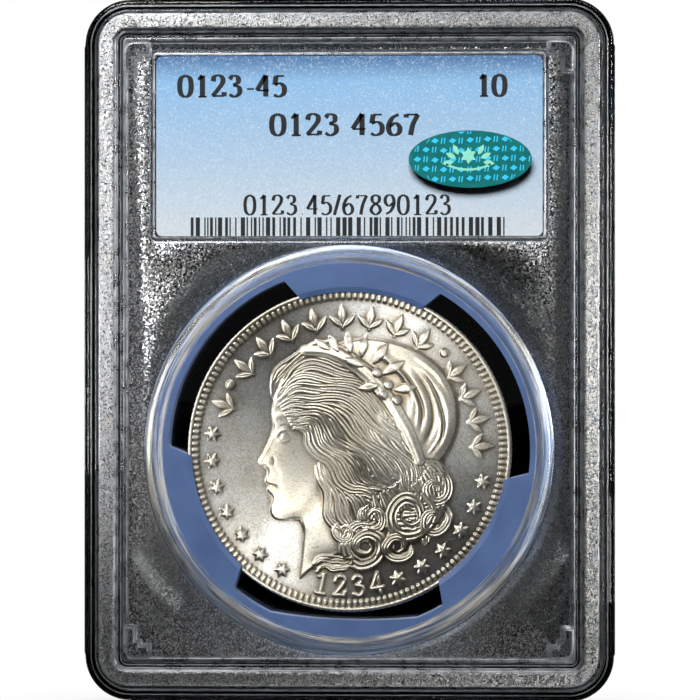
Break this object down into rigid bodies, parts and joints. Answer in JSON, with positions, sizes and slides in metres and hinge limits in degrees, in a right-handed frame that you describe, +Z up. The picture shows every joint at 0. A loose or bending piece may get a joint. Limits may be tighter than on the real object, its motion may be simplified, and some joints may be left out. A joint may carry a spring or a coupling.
{
  "type": "graded coin slab",
  "caption": "Sealed clear display slab holding a large silver coin in a ring insert, with a printed label card above it.",
  "frame": {"origin": "middle of the bottom edge, on the surface that the slab stands on", "axes": "+Z up along the slab's height, +X to the right seen from the front, -Y out of the front face"},
  "size_m": [0.0622, 0.008, 0.0824],
  "materials": {
    "clear_shell": "clear moulded plastic, polished windows and a fine stipple elsewhere",
    "insert_plastic": "smooth translucent blue-grey plastic",
    "coin_silver": "struck silver with bright frosted lustre",
    "label_paper": "printed card, blue fading to white",
    "sticker_film": "printed foil film, dark green with blue marks",
    "security_foil": "bright embossed foil"
  },
  "bodies": {
    "root": {"front_shell": "clear_shell", "rear_shell": "clear_shell", "coin_insert": "insert_plastic", "coin": "coin_silver", "label_card": "label_paper", "oval_sticker": "sticker_film", "security_foil": "security_foil"}
  },
  "joints": []
}
